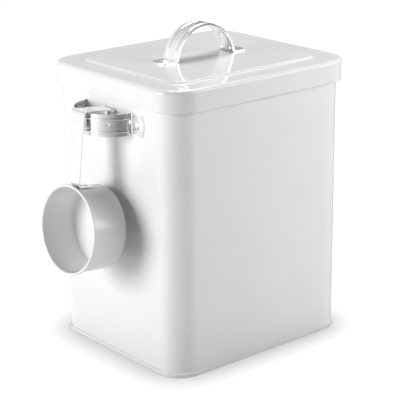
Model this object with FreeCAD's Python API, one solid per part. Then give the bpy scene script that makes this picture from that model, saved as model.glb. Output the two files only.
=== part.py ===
import FreeCAD, Part
import math
import os

from FreeCAD import Vector

os.makedirs("parts", exist_ok=True)

# Rectangular steel storage canister with a lift-off lid and a hanging scoop.
# Millimetres. Z is up and the floor is Z = 0, with the origin under the middle of the box.
# The wide plain front faces -Y. The side handle and the scoop are on the -X wall.

# Body: one sheet wrapped round and lock-seamed down the back
body_width = 220.0
body_depth = 188.0
body_height = 280.7
body_corner = 24.5
body_sheet = 0.6
rim_roll = 2.0
lock_seam_width = 5.0
lock_seam_fold = 1.2
lock_seam_line = 0.5

# Base: a pan set up into the body and seamed round its lower edge
base_sheet = 0.6
base_recess = 4.5
base_bend = 1.8
seam_height = 4.0
seam_fold = 0.7
seam_gap = 0.05
seam_edge = 0.35
base_step_inset = 18.0
base_step_corner = 16.0
base_step_run = 3.0
base_step_rise = 1.5

# Lid: a pressed cap whose skirt drops over the rolled rim
lid_sheet = 0.6
lid_seat_gap = 0.3
lid_side_gap = 0.4
lid_height = 21.6
lid_hem = 3.6
lid_hem_edge = 0.35
lid_step_inset = 22.5
lid_step_corner = 18.0
lid_step_run = 3.0
lid_step_rise = 2.0

# Strap handle: the same pressed strip on the lid and on the side wall
strap_width = 21.2
strap_sheet = 1.2
arch_radius = 36.5
arch_rise = 33.0
strap_bend = 1.5
tab_length = 17.8
tab_nose = 16.0
bead_pitch = 12.2
bead_round = 1.6
bead_proud = 0.5
bead_foot = 13.0
strap_hole = 5.0
strap_hole_angles = (43.0, 90.0, 137.0)
side_handle_drop = 39.7
side_handle_shift = 2.2

# Rivets that hold a strap handle
rivet_shank = 4.0
rivet_head = 8.4
rivet_dome = 1.7
rivet_tail = 6.4
rivet_tail_height = 1.2
rivet_fit = 0.1
rivet_setback = 8.0

# Scoop: a drawn cup on a strip handle that hooks over the side handle
cup_mouth = 41.5
cup_depth = 40.4
cup_sheet = 0.7
cup_taper = 1.0
cup_floor_round = 3.0
cup_roll = 1.4
hook_sheet = 1.2
hook_bend = 1.3
hook_tongue = 37.4
hook_leg = 17.0
hook_leg_hole = 4.0
hook_leg_hole_drop = 5.3
hook_shoulder_width = 20.2
hook_leg_width = 17.0
hook_foot_width = 13.4
hook_drop = 73.0
hook_foot = 17.0
hook_foot_pitch = 3.0
hook_foot_corner = 1.2
hook_seat_gap = 0.3
hook_side_gap = 3.4
hook_lean = 5.0
mouth_ahead = 5.7

# Rivets that hold the cup on its strip handle
scoop_rivet_shank = 3.0
scoop_rivet_head = 5.2
scoop_rivet_head_height = 0.5
scoop_rivet_tail_height = 0.8
scoop_rivet_first = 5.8
scoop_rivet_pitch = 6.4

UP = Vector(0, 0, 1)
ORIGIN = Vector(0, 0, 0)
X_AXIS = Vector(1, 0, 0)
Y_AXIS = Vector(0, 1, 0)

# The base pan's upstand lies inside the body wall, and its fold stands outside it.
seam_proud = seam_fold + seam_gap + base_sheet
# The skirt clears the rolled rim, and its hem is folded inward.
rim_reach = 2 * rim_roll - body_sheet
lid_overhang = rim_reach + lid_side_gap + 2 * lid_sheet
lid_top = body_height + lid_seat_gap + lid_sheet
lid_width = body_width + 2 * lid_overhang
lid_depth = body_depth + 2 * lid_overhang
lid_corner = body_corner + lid_overhang
panel_top = lid_top + lid_step_rise
side_handle_height = body_height - side_handle_drop
# The lid's round edge follows the rolled rim below it.
lid_edge = rim_roll + lid_side_gap + 2 * lid_sheet


def at(point):
    """A point of an upright section, given as (x, z)."""
    return Vector(point[0], 0, point[1])


def section(start, *steps):
    """A closed face in the XZ plane: a step is a corner, or a (middle, end) pair for an arc."""
    edges = []
    here = at(start)
    for step in steps + (start,):
        if isinstance(step[0], tuple):
            edges.append(Part.Arc(here, at(step[0]), at(step[1])).toShape())
            here = at(step[1])
        elif here.distanceToPoint(at(step)) > 1e-7:
            edges.append(Part.LineSegment(here, at(step)).toShape())
            here = at(step)
    return Part.Face(Part.Wire(edges))


def on_circle(centre, radius, angle):
    """A point of an upright section on a circle, with the angle in degrees from +X."""
    turn = math.radians(angle)
    return (centre[0] + radius * math.cos(turn), centre[1] + radius * math.sin(turn))


def arc_to(centre, radius, start, end):
    """The (middle, end) pair of an arc from one angle to another."""
    return (on_circle(centre, radius, (start + end) / 2), on_circle(centre, radius, end))


def joined(shapes):
    """Fuse solids that meet face to face into one clean solid."""
    whole = shapes[0].multiFuse(shapes[1:])
    return whole.removeSplitter()


def carried_round(profile, width, depth, corner):
    """Carry a wall's section, drawn with x outward from the wall, round a box with round corners."""
    pieces = []
    for quarter in range(4):
        reach, run = (width, depth) if quarter % 2 == 0 else (depth, width)
        straight = run - 2 * corner
        start = profile.translated(Vector(reach / 2, -straight / 2, 0))
        wall = start.extrude(Vector(0, straight, 0))
        end = profile.translated(Vector(reach / 2, straight / 2, 0))
        bend = end.revolve(Vector(reach / 2 - corner, straight / 2, 0), UP, 90)
        for piece in (wall, bend):
            piece.rotate(ORIGIN, UP, 90 * quarter)
            pieces.append(piece)
    return joined(pieces)


def round_plate(width, depth, corner, sheet, level):
    """A flat plate with round corners, its underside at the given level."""
    plate = Part.makeBox(width, depth, sheet, Vector(-width / 2, -depth / 2, level))
    uprights = [e for e in plate.Edges if abs(e.tangentAt(e.FirstParameter).z) > 0.9]
    return plate.makeFillet(corner, uprights)


def step_section(run, rise, sheet):
    """A pressed step in a sheet: level outside x = 0, raised by rise inside x = -run."""
    turn = 2 * math.degrees(math.atan2(rise, run))
    middle = run / (2 * math.sin(math.radians(turn)))
    tight = middle - sheet / 2
    wide = middle + sheet / 2
    low = (0.0, sheet / 2 + middle)
    high = (-run, sheet / 2 + rise - middle)
    return section(
        (0.0, 0.0),
        (0.0, sheet),
        arc_to(low, tight, 270, 270 - turn),
        arc_to(high, wide, 90 - turn, 90),
        (-run, rise),
        arc_to(high, tight, 90, 90 - turn),
        arc_to(low, wide, 270 - turn, 270),
    )


def ramp_section(run, rise, sheet):
    """A plain step in a sheet, as step_section but straight."""
    return section((0.0, 0.0), (0.0, sheet), (-run, rise + sheet), (-run, rise))


def stepped_panel(width, depth, corner, inset, step_corner, run, rise, sheet, level, profile):
    """A sheet panel with a raised middle, its outer border's underside at the given level."""
    step_width = width - 2 * inset
    step_depth = depth - 2 * inset
    border = round_plate(width, depth, corner, sheet, level)
    border = border.cut(round_plate(step_width, step_depth, step_corner, sheet, level))
    upright = profile(run, rise, sheet).translated(Vector(0, 0, level))
    step = carried_round(upright, step_width, step_depth, step_corner)
    middle = round_plate(
        step_width - 2 * run, step_depth - 2 * run, step_corner - run, sheet, level + rise
    )
    return joined([border, step, middle])


def roll_end(sheet, roll):
    """Angle on a closed roll, from its outward side, at which it comes back to its own wall."""
    return math.degrees(math.acos((roll - sheet) / roll)) - 180


def rolled_edge(sheet, roll, foot, rolled_at):
    """A sheet edge rolled outward and closed: the wall runs up from foot to the roll's centre."""
    centre = (roll - sheet, rolled_at)
    return section(
        (-sheet, foot),
        (-sheet, rolled_at),
        arc_to(centre, roll, 180, roll_end(sheet, roll)),
        (0.0, foot),
    )


def body_shell():
    """The wrapped wall: rolled rim, folded lower edge inside the base seam, and lock seam."""
    foot = base_sheet + seam_gap
    hook_top = seam_height - base_sheet - seam_gap
    wall = carried_round(
        rolled_edge(body_sheet, rim_roll, foot, body_height - rim_roll),
        body_width,
        body_depth,
        body_corner,
    )
    hook = carried_round(
        section((0.0, foot), (seam_fold, foot), (seam_fold, hook_top), (0.0, hook_top)),
        body_width,
        body_depth,
        body_corner,
    )
    inside = body_depth / 2 - body_sheet
    seam_foot = base_recess + base_step_rise + 2 * base_sheet
    seam_top = body_height - rim_roll
    fold = Part.makeBox(
        lock_seam_width,
        lock_seam_fold,
        seam_top - seam_foot,
        Vector(-lock_seam_width / 2, inside - lock_seam_fold, seam_foot),
    )
    line = Part.makeBox(
        lock_seam_line,
        body_sheet / 2,
        seam_top - seam_height - 2 * rim_roll,
        Vector(lock_seam_width / 2, inside + body_sheet / 2, seam_height + rim_roll),
    )
    shell = joined([wall, hook, fold]).cut(line)
    for side in (-1, 1):
        along = side_handle_shift + side * rivet_reach()
        shell = shell.cut(
            Part.makeCylinder(
                rivet_shank / 2 + rivet_fit,
                4 * body_sheet,
                Vector(-body_width / 2 - 2 * body_sheet, along, side_handle_height),
                X_AXIS,
            )
        )
    return shell


def base_pan():
    """The base: a recessed panel, an upstand inside the wall and the seam that the box stands on."""
    inner = -body_sheet - base_sheet
    bend = (inner - base_bend, base_recess - base_bend)
    outer = seam_proud
    lip = seam_fold
    seam = section(
        (bend[0], base_recess),
        arc_to(bend, base_bend, 90, 0),
        (inner, seam_edge),
        (inner + seam_edge, 0.0),
        (outer - seam_edge, 0.0),
        (outer, seam_edge),
        (outer, seam_height - seam_edge),
        (outer - seam_edge, seam_height),
        (seam_gap, seam_height),
        (seam_gap, seam_height - base_sheet),
        (lip + seam_gap, seam_height - base_sheet),
        (lip + seam_gap, base_sheet),
        (-body_sheet, base_sheet),
        (-body_sheet, bend[1]),
        arc_to(bend, base_bend + base_sheet, 0, 90),
    )
    ring = carried_round(seam, body_width, body_depth, body_corner)
    inset = body_sheet + base_sheet + base_bend
    panel = stepped_panel(
        body_width - 2 * inset,
        body_depth - 2 * inset,
        body_corner - inset,
        base_step_inset,
        base_step_corner,
        base_step_run,
        base_step_rise,
        base_sheet,
        base_recess,
        ramp_section,
    )
    return joined([ring, panel])


def lid_shell():
    """The lid: raised panel, round edge and a skirt with its lower edge hemmed inward."""
    hem_foot = lid_top - lid_height
    inner = -2 * lid_sheet
    turn = (-lid_edge, lid_top - lid_edge)
    skirt = section(
        (-lid_edge, lid_top),
        arc_to(turn, lid_edge, 90, 0),
        (0.0, hem_foot + lid_hem_edge),
        (-lid_hem_edge, hem_foot),
        (inner + lid_hem_edge, hem_foot),
        (inner, hem_foot + lid_hem_edge),
        (inner, hem_foot + lid_hem),
        (-lid_sheet, hem_foot + lid_hem),
        (-lid_sheet, turn[1]),
        arc_to(turn, lid_edge - lid_sheet, 0, 90),
    )
    ring = carried_round(skirt, lid_width, lid_depth, lid_corner)
    panel = stepped_panel(
        lid_width - 2 * lid_edge,
        lid_depth - 2 * lid_edge,
        lid_corner - lid_edge,
        lid_step_inset - lid_edge,
        lid_step_corner,
        lid_step_run,
        lid_step_rise,
        lid_sheet,
        lid_top - lid_sheet,
        step_section,
    )
    shell = joined([ring, panel])
    for side in (-1, 1):
        shell = shell.cut(
            Part.makeCylinder(
                rivet_shank / 2 + rivet_fit,
                4 * lid_sheet,
                Vector(side * rivet_reach(), 0, panel_top - 2 * lid_sheet),
                UP,
            )
        )
    return shell


def strap_bend_centre():
    """Centre of the bend between arch and tab, in the strap's own upright section."""
    height = strap_sheet + strap_bend
    drop = height - (arch_rise - arch_radius)
    return (math.sqrt((arch_radius + strap_bend) ** 2 - drop**2), height)


def rivet_reach():
    """Distance of a strap rivet from the middle of its handle."""
    return strap_bend_centre()[0] - strap_bend + rivet_setback


def strap_handle():
    """Pressed strip: arch over the X axis, flat tabs on Z = 0, two beads and three holes."""
    centre = (0.0, arch_rise - arch_radius)
    bend = strap_bend_centre()
    tip = bend[0] - strap_bend + tab_length
    meet = math.degrees(math.atan2(bend[1] - centre[1], bend[0]))
    left = (-bend[0], bend[1])
    inner = arch_radius - strap_sheet
    profile = section(
        (tip, strap_sheet),
        (bend[0], strap_sheet),
        arc_to(bend, strap_bend, 270, 180 + meet),
        arc_to(centre, arch_radius, meet, 180 - meet),
        arc_to(left, strap_bend, -meet, -90),
        (-tip, strap_sheet),
        (-tip, 0.0),
        (-bend[0], 0.0),
        arc_to(left, strap_bend + strap_sheet, -90, -meet),
        arc_to(centre, inner, 180 - meet, meet),
        arc_to(bend, strap_bend + strap_sheet, 180 + meet, 270),
        (tip, 0.0),
    )
    profile.translate(Vector(0, -strap_width / 2, 0))
    strap = profile.extrude(Vector(0, strap_width, 0))

    # Tab ends are wide round noses.
    half = strap_width / 2
    shoulder = tip - tab_nose + math.sqrt(tab_nose**2 - half**2)
    corners = [
        Vector(-shoulder, -half, 0),
        Vector(shoulder, -half, 0),
        Vector(shoulder, half, 0),
        Vector(-shoulder, half, 0),
    ]
    plan = Part.Wire(
        [
            Part.LineSegment(corners[0], corners[1]).toShape(),
            Part.Arc(corners[1], Vector(tip, 0, 0), corners[2]).toShape(),
            Part.LineSegment(corners[2], corners[3]).toShape(),
            Part.Arc(corners[3], Vector(-tip, 0, 0), corners[0]).toShape(),
        ]
    )
    strap = strap.common(Part.Face(plan).extrude(Vector(0, 0, arch_rise)))

    # Each bead is a ridge outside and a groove inside, ended short of the bends.
    hub = at(centre)
    sweep = 180 - 2 * bead_foot
    for side in (-1, 1):
        across = Vector(0, side * bead_pitch / 2, 0)
        for radius, grows in ((arch_radius, True), (inner, False)):
            middle = radius + bead_proud - bead_round
            start = at(on_circle(centre, middle, bead_foot)) + across
            direction = (start - hub - across).normalize()
            ring = Part.Face(
                Part.Wire(Part.makeCircle(bead_round, start, direction.cross(Y_AXIS)))
            )
            bead = ring.revolve(hub, Y_AXIS * -1, sweep)
            ends = [Part.makeSphere(bead_round, start)]
            ends.append(Part.makeSphere(bead_round, Vector(-start.x, start.y, start.z)))
            bead = bead.multiFuse(ends)
            if grows:
                hollow = Part.makeCylinder(
                    arch_radius - strap_sheet / 2, strap_width, hub - Y_AXIS * half, Y_AXIS
                )
                strap = strap.fuse(bead.cut(hollow))
            else:
                strap = strap.cut(bead)

    for angle in strap_hole_angles:
        outward = (at(on_circle(centre, 1.0, angle)) - hub).normalize()
        strap = strap.cut(
            Part.makeCylinder(strap_hole / 2, 2 * arch_radius, hub, outward)
        )
    for side in (-1, 1):
        strap = strap.cut(
            Part.makeCylinder(
                rivet_shank / 2 + rivet_fit,
                3 * strap_sheet,
                Vector(side * rivet_reach(), 0, -strap_sheet),
                UP,
            )
        )
    return strap.removeSplitter()


def strap_rivets(sheet):
    """Two dome rivets through a strap's tabs and the sheet below, in the strap's own frame."""
    head_radius = (rivet_head**2 / 4 + rivet_dome**2) / (2 * rivet_dome)
    base = strap_sheet
    crown = (0.0, base + rivet_dome)
    shoulder = (rivet_head / 2, base)
    rise = math.degrees(math.asin(rivet_head / 2 / head_radius))
    centre = (0.0, crown[1] - head_radius)
    half = section(
        crown,
        (on_circle(centre, head_radius, 90 - rise / 2), shoulder),
        (rivet_shank / 2, base),
        (rivet_shank / 2, -sheet),
        (rivet_tail / 2, -sheet),
        (rivet_tail / 2, -sheet - rivet_tail_height),
        (0.0, -sheet - rivet_tail_height),
    )
    rivet = half.revolve(ORIGIN, UP, 360)
    pair = [rivet.translated(Vector(side * rivet_reach(), 0, 0)) for side in (-1, 1)]
    return Part.makeCompound(pair)


def on_lid(shape):
    """Place a strap-frame shape on the middle of the lid's panel, with the arch along X."""
    return shape.translated(Vector(0, 0, panel_top))


def on_side(shape):
    """Place a strap-frame shape on the -X wall, just behind its middle, with its strip upright."""
    turned = shape.copy()
    turned.rotate(ORIGIN, Y_AXIS, -90)
    turned.rotate(ORIGIN, X_AXIS, 90)
    return turned.translated(Vector(-body_width / 2, side_handle_shift, side_handle_height))


def hooked(shape):
    """Hang a scoop-frame shape on the side handle, with its strip leaning out at the foot."""
    hung = shape.copy()
    hung.rotate(ORIGIN, Y_AXIS, hook_lean)
    lean = math.radians(hook_lean)
    crest = -body_width / 2 - arch_rise
    strap_edge = side_handle_height + strap_width / 2
    # The tongue slopes down inward, so it comes nearest the strap's edge at its own front side.
    inner = arch_radius - strap_sheet
    aside = hook_shoulder_width / 2 + side_handle_shift
    depth = arch_radius - math.sqrt(inner**2 - aside**2)
    inset = hook_side_gap + hook_sheet
    top_x = crest - inset * math.cos(lean)
    slope_rise = (inset * math.cos(lean) + depth) * math.tan(lean)
    top_z = strap_edge + hook_seat_gap + slope_rise + hook_sheet / math.cos(lean)
    return hung.translated(Vector(top_x, 0, top_z))


def on_foot(shape):
    """Place a foot-frame shape, whose XY plane is the underside of the strip's foot."""
    placed = shape.copy()
    placed.rotate(ORIGIN, Y_AXIS, hook_foot_pitch)
    return placed.translated(Vector(0, 0, -hook_drop))


def foot_point(x, z):
    """A point of the foot frame in the scoop frame's upright section."""
    pitch = math.radians(hook_foot_pitch)
    along = x * math.cos(pitch) + z * math.sin(pitch)
    return (along, z * math.cos(pitch) - x * math.sin(pitch) - hook_drop)


def scoop_handle():
    """Hooked strip. Scoop frame: the strip's outer top corner is the origin and +X is inward."""
    sheet = hook_sheet
    outer = hook_bend + sheet
    reach = hook_tongue
    pitch = math.radians(hook_foot_pitch)
    top = (outer, -outer)
    turn = (reach - outer, -outer)
    heel = (outer, outer * (1 - math.sin(pitch)) / math.cos(pitch) - hook_drop)
    heel_end = 270 - hook_foot_pitch
    profile = section(
        (0.0, heel[1]),
        (0.0, top[1]),
        arc_to(top, outer, 180, 90),
        (turn[0], 0.0),
        arc_to(turn, outer, 90, 0),
        (reach, -hook_leg),
        (reach - sheet, -hook_leg),
        (reach - sheet, turn[1]),
        arc_to(turn, hook_bend, 0, 90),
        (top[0], -sheet),
        arc_to(top, hook_bend, 90, 180),
        (sheet, heel[1]),
        arc_to(heel, hook_bend, 180, heel_end),
        foot_point(hook_foot, sheet),
        foot_point(hook_foot, 0.0),
        on_circle(heel, outer, heel_end),
        arc_to(heel, outer, heel_end, 180),
    )
    shoulder = hook_shoulder_width / 2
    profile.translate(Vector(0, -shoulder, 0))
    strip = profile.extrude(Vector(0, hook_shoulder_width, 0))

    # Seen from the front the strip narrows to the foot, and from above the tongue to the leg.
    margin = outer
    narrow = hook_foot_width / 2
    leg = hook_leg_width / 2
    for side in (-1, 1):
        front = [
            Vector(-margin, side * shoulder, top[1]),
            Vector(-margin, side * narrow, heel[1]),
            Vector(-margin, side * narrow, -hook_drop - margin),
            Vector(-margin, side * 2 * shoulder, -hook_drop - margin),
            Vector(-margin, side * 2 * shoulder, top[1]),
        ]
        flank = Part.Face(Part.makePolygon(front + front[:1]))
        strip = strip.cut(flank.extrude(Vector(hook_foot + 2 * margin, 0, 0)))
        above = [
            Vector(outer, side * shoulder, margin),
            Vector(turn[0], side * leg, margin),
            Vector(reach + margin, side * leg, margin),
            Vector(reach + margin, side * 2 * shoulder, margin),
            Vector(outer, side * 2 * shoulder, margin),
        ]
        flank = Part.Face(Part.makePolygon(above + above[:1]))
        strip = strip.cut(flank.extrude(Vector(0, 0, -hook_leg - 2 * margin)))

    # The leg's tip is a half round, and the foot's two corners are rounded.
    strip = strip.cut(leg_tip_waste(reach, leg))
    toe_middle = at(foot_point(hook_foot, sheet / 2))
    toe = [
        e
        for e in strip.Edges
        if abs(e.CenterOfMass.x - toe_middle.x) < 1e-6 and abs(e.CenterOfMass.y) > narrow / 2
        and abs(e.CenterOfMass.z - toe_middle.z) < 1e-6
    ]
    strip = strip.makeFillet(hook_foot_corner, toe)

    strip = strip.cut(
        Part.makeCylinder(
            hook_leg_hole / 2,
            3 * sheet,
            Vector(reach - 2 * sheet, 0, -hook_leg_hole_drop),
            X_AXIS,
        )
    )
    return strip.cut(on_foot(scoop_rivet_holes())).removeSplitter()


def leg_tip_waste(reach, leg):
    """What a half-round punch takes off the square end of the hook's leg."""
    start = reach - 2 * hook_sheet
    block = Part.makeBox(
        3 * hook_sheet, 3 * leg, leg, Vector(start, -1.5 * leg, -hook_leg)
    )
    disc = Part.makeCylinder(leg, 3 * hook_sheet, Vector(start, 0, leg - hook_leg), X_AXIS)
    return block.cut(disc)


def scoop_rivet_places():
    """Distances of the cup's rivets from the strip's outer face."""
    return [scoop_rivet_first, scoop_rivet_first + scoop_rivet_pitch]


def scoop_rivet_holes():
    """Punches for the cup's rivets, in the foot frame."""
    reach = hook_sheet + 3 * cup_sheet
    radius = scoop_rivet_shank / 2 + rivet_fit
    punches = [
        Part.makeCylinder(radius, 2 * reach, Vector(x, 0, -reach), UP)
        for x in scoop_rivet_places()
    ]
    return Part.makeCompound(punches)


def cup_wall_start():
    """Distance from the mouth at which the cup's wall leaves its closed roll."""
    return cup_roll + math.sqrt(cup_roll**2 - (cup_roll - cup_sheet) ** 2)


def under_foot(shape):
    """Place a cup, drawn with its axis up from the mouth, with its wall's top line on the foot."""
    placed = shape.copy()
    placed.rotate(ORIGIN, Y_AXIS, 90 - cup_taper)
    taper = math.radians(cup_taper)
    crown = cup_mouth * math.cos(taper) + cup_wall_start() * math.sin(taper)
    ahead = cup_mouth * math.sin(taper) - mouth_ahead
    return placed.translated(Vector(ahead, 0, -crown))


def scoop_cup():
    """Drawn cup: tapered wall, round floor corner and a mouth rolled outward."""
    slope = math.radians(cup_taper)
    floor_wall = cup_mouth - (cup_depth - cup_wall_start()) * math.tan(slope)
    roll = (cup_mouth - cup_sheet + cup_roll, cup_roll)
    inside = cup_mouth - cup_sheet
    floor_inside = floor_wall - cup_sheet + cup_sheet * math.tan(slope)
    # The section is drawn with x as radius and z as depth from the mouth.
    wall = section(
        (inside, cup_roll),
        arc_to(roll, cup_roll, -180, -roll_end(cup_sheet, cup_roll)),
        (floor_wall, cup_depth),
        (0.0, cup_depth),
        (0.0, cup_depth - cup_sheet),
        (floor_inside, cup_depth - cup_sheet),
        (inside, cup_wall_start()),
    )
    cup = wall.revolve(ORIGIN, UP, 360)
    outer_edge = [e for e in cup.Edges if is_ring(e, floor_wall, cup_depth)]
    cup = cup.makeFillet(cup_floor_round, outer_edge)
    inner_edge = [e for e in cup.Edges if is_ring(e, floor_inside, cup_depth - cup_sheet)]
    cup = cup.makeFillet(cup_floor_round - cup_sheet, inner_edge)
    return on_foot(under_foot(cup).cut(scoop_rivet_holes()))


def is_ring(edge, radius, level):
    """True for a full circle of the given radius at the given level."""
    curve = edge.Curve
    if not isinstance(curve, Part.Circle):
        return False
    return abs(curve.Radius - radius) < 1e-6 and abs(curve.Center.z - level) < 1e-6


def scoop_rivets():
    """Two flat-headed rivets through the handle's foot and the cup's wall."""
    head = scoop_rivet_head / 2
    shank = scoop_rivet_shank / 2
    top = hook_sheet
    # The tail bears on the cup's curved inner wall at its own two sides.
    inside = cup_mouth - cup_sheet
    bottom = math.sqrt(inside**2 - head**2) - cup_mouth
    half = section(
        (0.0, top + scoop_rivet_head_height),
        (head, top + scoop_rivet_head_height),
        (head, top),
        (shank, top),
        (shank, bottom),
        (head, bottom),
        (head, bottom - scoop_rivet_tail_height),
        (0.0, bottom - scoop_rivet_tail_height),
    )
    rivet = half.revolve(ORIGIN, UP, 360)
    pair = [rivet.translated(Vector(x, 0, 0)) for x in scoop_rivet_places()]
    return on_foot(Part.makeCompound(pair))


nodes = {
    "body_shell": body_shell(),
    "base_pan": base_pan(),
    "side_handle": on_side(strap_handle()),
    "side_handle_rivets": on_side(strap_rivets(body_sheet)),
    "lid_shell": lid_shell(),
    "lid_handle": on_lid(strap_handle()),
    "lid_handle_rivets": on_lid(strap_rivets(lid_sheet)),
    "scoop_cup": hooked(scoop_cup()),
    "scoop_handle": hooked(scoop_handle()),
    "scoop_rivets": hooked(scoop_rivets()),
}

for name, shape in nodes.items():
    shape.exportStep(f"parts/{name}.step")
    solids = len(shape.Solids)
    box = shape.BoundBox
    size = f"{box.XLength:.1f} x {box.YLength:.1f} x {box.ZLength:.1f}"
    print(name, "valid" if shape.isValid() else "NOT VALID", solids, "solids", size)
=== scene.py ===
import math

import bpy
from mathutils import Matrix, Vector

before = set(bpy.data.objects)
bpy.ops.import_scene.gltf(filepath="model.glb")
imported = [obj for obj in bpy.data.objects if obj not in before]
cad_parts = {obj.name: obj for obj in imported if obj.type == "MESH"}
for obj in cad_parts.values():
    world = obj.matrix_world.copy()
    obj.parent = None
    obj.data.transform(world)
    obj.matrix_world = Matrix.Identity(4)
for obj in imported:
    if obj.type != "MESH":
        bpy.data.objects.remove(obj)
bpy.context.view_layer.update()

# Camera: where the photograph was taken from, in degrees and metres, with its lens in millimetres
VIEW_AZIMUTH = -40.05
VIEW_ELEVATION = 18.03
VIEW_ROLL = -0.47
VIEW_TARGET = Vector((0.0, 0.0006, 0.1348))
VIEW_DISTANCE = 1.464
VIEW_REACH = 30.0
LENS = 130.05
SENSOR = 36.0

# Plain black and white, each with full alpha
BLACK = (0.0, 0.0, 0.0, 1.0)
WHITE = (1.0, 1.0, 1.0, 1.0)

# Lamps: each is a square panel that faces its target, in metres and watts
BOX_MIDDLE = (0.0, 0.0, 0.15)
FRONT_WALL_RIGHT = (0.08, -0.09, 0.2)
LAMPS = {
    "top_panel": {"at": (0.50, 0.36, 1.60), "to": BOX_MIDDLE, "size": 0.90, "watts": 20.5},
    "left_panel": {"at": (-1.25, 0.23, 0.44), "to": BOX_MIDDLE, "size": 0.60, "watts": 14.1},
    "front_panel": {"at": (0.80, -1.10, 0.60), "to": BOX_MIDDLE, "size": 0.70, "watts": 12.3},
    "right_panel": {"at": (0.45, -0.40, 0.45), "to": FRONT_WALL_RIGHT, "size": 0.30, "watts": 0.8},
}
# Lamps that no mirror shows, and the dimmer card that mirrors show in one's place
UNMIRRORED_LAMPS = ["front_panel", "right_panel"]
CARD_FOR = "front_panel"
CARD_LEVEL = 4.0

# Mirrors see a room that is white on one side of the set and falls off to the other
ROOM_BRIGHT_SIDE = (-0.707, 0.707, 0.0)
ROOM_DARK_FROM = -0.35
ROOM_DARK = 0.15
ROOM_BRIGHT = 1.0

# Floor: its shade for the light that it gives back to the object, and the darker shade, under a
# white glow, that the camera and mirrors see
FLOOR_SIZE = 12.0
FLOOR_SHADE = 0.7
FLOOR_SEEN_SHADE = 0.12
FLOOR_ROUGHNESS = 0.9
FLOOR_SPECULAR = 0.1
# Its glow rises between these two distances from its middle
FLOOR_GLOW_NEAR = 0.93
FLOOR_GLOW_FAR = 1.0
FLOOR_NEAR = 0.2
FLOOR_FAR = 0.9
# Its painted contact shadow: it darkens where the object stands close over it
CONTACT_REACH = 0.035
CONTACT_DEPTH = 0.8
CONTACT_SAMPLES = 16

# Nearly all of a noise's values lie between these two
NOISE_LOW = 0.3
NOISE_HIGH = 0.7

# White coat: noises by scale per metre and detail, ranges, and bumps by strength and distance
COAT_SHADE = 0.8
COAT_MOTTLE_NOISE = (22.0, 3.0)
COAT_MOTTLE = (0.985, 1.01)
COAT_GLOSS_NOISE = (30.0, 2.0)
COAT_BASE_ROUGHNESS = (0.36, 0.44)
COAT_WAVE_NOISE = (11.0, 1.0)
COAT_WAVE_BUMP = (0.12, 0.002)
COAT_PEEL_NOISE = (520.0, 2.0)
COAT_PEEL_BUMP = (0.03, 0.0002)
COAT_IOR = 1.5
COAT_SPECULAR = 0.15
COAT_WEIGHT = 0.9
COAT_ROUGHNESS = 0.06

# Steel: its lines are drawn out by a low scale along the strip and a high one across it
STRAP_SHADE = 0.92
RIVET_SHADE = 0.8
STEEL_STREAKS = (0.97, 1.03)
STEEL_LINE_NOISE = (1.0, 5.0)
STEEL_LINE_BUMP = (0.05, 0.0002)
STEEL_ALONG = 14.0
STEEL_ACROSS = 900.0
STEEL_BLOOM_NOISE = (90.0, 3.0)
STRAP_ROUGHNESS = (0.15, 0.19)
RIVET_ROUGHNESS = (0.18, 0.3)


def plug(node, inputs):
    """Link each input of a node to a socket, or set it to a value."""
    for key, value in inputs.items():
        if isinstance(value, bpy.types.NodeSocket):
            node.id_data.links.new(value, node.inputs[key])
        else:
            node.inputs[key].default_value = value


def adder(tree):
    """A function that adds a node to a tree, with its inputs plugged, and its settings."""

    def add(kind, inputs=None, **settings):
        node = tree.nodes.new(kind)
        for key, value in settings.items():
            setattr(node, key, value)
        plug(node, inputs or {})
        return node

    return add


def node_material(name):
    """A new material with its own Principled shader, and a function that adds nodes to it."""
    material = bpy.data.materials.new(name)
    material.use_nodes = True
    tree = material.node_tree
    return material, tree.nodes["Principled BSDF"], adder(tree)


def combine(add, operation, first, second):
    """Two values joined by a sum, a product or the like."""
    return add("ShaderNodeMath", {0: first, 1: second}, operation=operation).outputs["Value"]


def ramp(add, value, low, high, from_low=0.0, from_high=1.0):
    """A value carried from one range over to another, and held at its ends."""
    inputs = {
        "Value": value,
        "From Min": from_low,
        "From Max": from_high,
        "To Min": low,
        "To Max": high,
    }
    return add("ShaderNodeMapRange", inputs).outputs["Result"]


def spread(add, noise, low, high):
    """A noise value spread over a range."""
    return ramp(add, noise, low, high, NOISE_LOW, NOISE_HIGH)


def own_noise(add, scale, detail, stretch=(1.0, 1.0, 1.0)):
    """Noise fixed to the piece, in metres, with its own scale along each axis."""
    place = add("ShaderNodeTexCoord").outputs["Object"]
    mapped = add("ShaderNodeMapping", {"Vector": place, "Scale": stretch})
    vector = mapped.outputs["Vector"]
    noise = add("ShaderNodeTexNoise", {"Vector": vector, "Scale": scale, "Detail": detail})
    return noise.outputs["Fac"]


def bump(add, height, strength, distance, onto=None):
    """The normal of a bumped surface, on top of another bump's normal where one is given."""
    inputs = {"Height": height, "Strength": strength, "Distance": distance}
    if onto is not None:
        inputs["Normal"] = onto
    return add("ShaderNodeBump", inputs).outputs["Normal"]


def grey(add, value):
    """A neutral colour from one value."""
    inputs = {"Red": value, "Green": value, "Blue": value}
    return add("ShaderNodeCombineColor", inputs).outputs["Color"]


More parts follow.
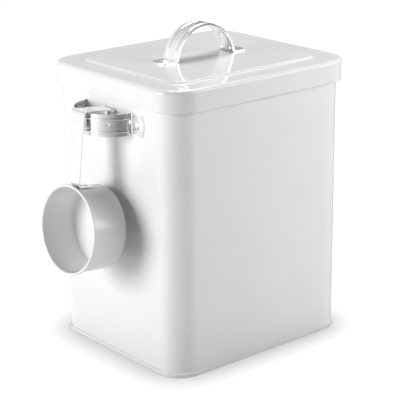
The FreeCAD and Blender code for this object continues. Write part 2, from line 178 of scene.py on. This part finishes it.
def coated_tin(name, shade):
    """Glossy white coat on thin sheet: faint mottling, uneven gloss, orange peel and sheet waves."""
    material, shader, add = node_material(name)
    low, high = COAT_MOTTLE
    mottle = spread(add, own_noise(add, *COAT_MOTTLE_NOISE), shade * low, shade * high)
    waves = bump(add, own_noise(add, *COAT_WAVE_NOISE), *COAT_WAVE_BUMP)
    look = {
        "Base Color": grey(add, mottle),
        "Roughness": spread(add, own_noise(add, *COAT_GLOSS_NOISE), *COAT_BASE_ROUGHNESS),
        "Normal": bump(add, own_noise(add, *COAT_PEEL_NOISE), *COAT_PEEL_BUMP, onto=waves),
        "IOR": COAT_IOR,
        "Specular IOR Level": COAT_SPECULAR,
        "Coat Weight": COAT_WEIGHT,
        "Coat Roughness": COAT_ROUGHNESS,
    }
    plug(shader, look)
    return material


def drawn_steel(name, shade, across, roughness):
    """Bare zinc-bright strip steel with rolling lines along the strip and soft blooms."""
    material, shader, add = node_material(name)
    stretch = [STEEL_ALONG, STEEL_ALONG, STEEL_ALONG]
    stretch["XYZ".index(across)] = STEEL_ACROSS
    lines = own_noise(add, *STEEL_LINE_NOISE, stretch)
    bloom = own_noise(add, *STEEL_BLOOM_NOISE)
    mean = combine(add, "MULTIPLY", combine(add, "ADD", lines, bloom), 0.5)
    low, high = STEEL_STREAKS
    look = {
        "Base Color": grey(add, spread(add, mean, shade * low, shade * high)),
        "Roughness": spread(add, bloom, *roughness),
        "Normal": bump(add, lines, *STEEL_LINE_BUMP),
        "Metallic": 1.0,
    }
    plug(shader, look)
    return material


def dress(nodes, material):
    """Give CAD nodes a material."""
    for name in nodes:
        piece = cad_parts[name]
        piece.data.materials.clear()
        piece.data.materials.append(material)


def place_lamp(name, spec):
    """A square area lamp that faces its target."""
    data = bpy.data.lights.new(name, "AREA")
    data.shape = "SQUARE"
    data.size = spec["size"]
    data.energy = spec["watts"]
    lamp = bpy.data.objects.new(name, data)
    lamp.location = spec["at"]
    toward = Vector(spec["to"]) - Vector(spec["at"])
    lamp.rotation_euler = toward.to_track_quat("-Z", "Y").to_euler()
    lamp.visible_glossy = name not in UNMIRRORED_LAMPS
    bpy.context.collection.objects.link(lamp)
    return lamp


def place_card(lamp):
    """A glowing card that only mirrors see, where a lamp stands."""
    bpy.ops.mesh.primitive_plane_add(size=lamp.data.size)
    card = bpy.context.object
    card.name = "mirror_card"
    card.location = lamp.location
    card.rotation_euler = lamp.rotation_euler
    card.visible_camera = False
    card.visible_diffuse = False
    card.visible_shadow = False
    material, shader, _ = node_material("mirror_card")
    plug(shader, {"Base Color": BLACK, "Specular IOR Level": 0.0})
    plug(shader, {"Emission Color": WHITE, "Emission Strength": CARD_LEVEL})
    card.data.materials.append(material)


def looking_rays(add):
    """Whether a ray comes from the camera, and whether from a mirror or glass."""
    path = add("ShaderNodeLightPath").outputs
    mirrored = combine(add, "MAXIMUM", path["Is Glossy Ray"], path["Is Transmission Ray"])
    return path["Is Camera Ray"], mirrored


def seen_level(add, place):
    """Brightness by kind of ray: white for the camera, the room's in mirrors, and none for others."""
    from_camera, mirrored = looking_rays(add)
    way = add("ShaderNodeVectorMath", {0: place}, operation="NORMALIZE").outputs["Vector"]
    sides = {0: way, 1: ROOM_BRIGHT_SIDE}
    side = add("ShaderNodeVectorMath", sides, operation="DOT_PRODUCT").outputs["Value"]
    room = ramp(add, side, ROOM_DARK, ROOM_BRIGHT, from_low=ROOM_DARK_FROM)
    in_mirrors = ramp(add, mirrored, 0.0, room)
    return ramp(add, from_camera, in_mirrors, 1.0)


def lay_floor():
    """A pale floor that lights the object from below and keeps its shadow, with a painted contact
    shadow where the object stands close.
    """
    bpy.ops.mesh.primitive_plane_add(size=FLOOR_SIZE)
    floor = bpy.context.object
    floor.name = "floor"
    material, shader, add = node_material("floor")
    place = add("ShaderNodeTexCoord").outputs["Object"]
    # Painted contact shadow: ambient occlusion darkens the floor's colour and glow where the object
    # stands close
    openness = add("ShaderNodeAmbientOcclusion", {"Distance": CONTACT_REACH}, samples=CONTACT_SAMPLES)
    painted_contact_shadow = ramp(add, openness.outputs["AO"], 1.0 - CONTACT_DEPTH, 1.0)
    looking = combine(add, "MAXIMUM", *looking_rays(add))
    shade = ramp(add, looking, FLOOR_SHADE, FLOOR_SEEN_SHADE)
    away = add("ShaderNodeVectorMath", {0: place}, operation="LENGTH").outputs["Value"]
    rise = ramp(add, away, FLOOR_GLOW_NEAR, FLOOR_GLOW_FAR, FLOOR_NEAR, FLOOR_FAR)
    glow = combine(add, "MULTIPLY", seen_level(add, place), rise)
    look = {
        "Base Color": grey(add, combine(add, "MULTIPLY", shade, painted_contact_shadow)),
        "Roughness": FLOOR_ROUGHNESS,
        "Specular IOR Level": FLOOR_SPECULAR,
        "Emission Color": WHITE,
        "Emission Strength": combine(add, "MULTIPLY", glow, painted_contact_shadow),
    }
    plug(shader, look)
    floor.data.materials.append(material)


def back_with_world():
    """A backdrop all round, which the camera sees white and mirrors see as the room."""
    world = bpy.data.worlds.new("studio")
    world.use_nodes = True
    bpy.context.scene.world = world
    add = adder(world.node_tree)
    direction = add("ShaderNodeTexCoord").outputs["Generated"]
    background = world.node_tree.nodes["Background"]
    plug(background, {"Color": WHITE, "Strength": seen_level(add, direction)})


def place_camera():
    """The photograph's camera."""
    data = bpy.data.cameras.new("camera")
    data.lens = LENS
    data.sensor_width = SENSOR
    data.clip_end = VIEW_REACH
    camera = bpy.data.objects.new("camera", data)
    turn = Matrix.Rotation(math.radians(VIEW_AZIMUTH), 4, "Z")
    tilt = Matrix.Rotation(math.radians(90.0 - VIEW_ELEVATION), 4, "X")
    roll = Matrix.Rotation(math.radians(VIEW_ROLL), 4, "Z")
    back = Matrix.Translation((0.0, 0.0, VIEW_DISTANCE))
    camera.matrix_world = Matrix.Translation(VIEW_TARGET) @ turn @ tilt @ roll @ back
    bpy.context.collection.objects.link(camera)
    bpy.context.scene.camera = camera


# Looks: the steel's lines run along each strip, so they are fine across its width
dress(["body_shell", "base_pan", "lid_shell", "scoop_cup"], coated_tin("white_coat", COAT_SHADE))
dress(["lid_handle"], drawn_steel("lid_strap_steel", STRAP_SHADE, "Y", STRAP_ROUGHNESS))
dress(["scoop_handle"], drawn_steel("scoop_strip_steel", STRAP_SHADE, "Y", STRAP_ROUGHNESS))
dress(["side_handle"], drawn_steel("side_strap_steel", STRAP_SHADE, "Z", STRAP_ROUGHNESS))
dress(
    ["lid_handle_rivets", "side_handle_rivets", "scoop_rivets"],
    drawn_steel("rivet_steel", RIVET_SHADE, "Z", RIVET_ROUGHNESS),
)

# Set
lay_floor()
back_with_world()
for lamp_name, lamp_spec in LAMPS.items():
    lamp = place_lamp(lamp_name, lamp_spec)
    if lamp_name == CARD_FOR:
        place_card(lamp)
place_camera()

bpy.context.scene.view_settings.view_transform = "Standard"
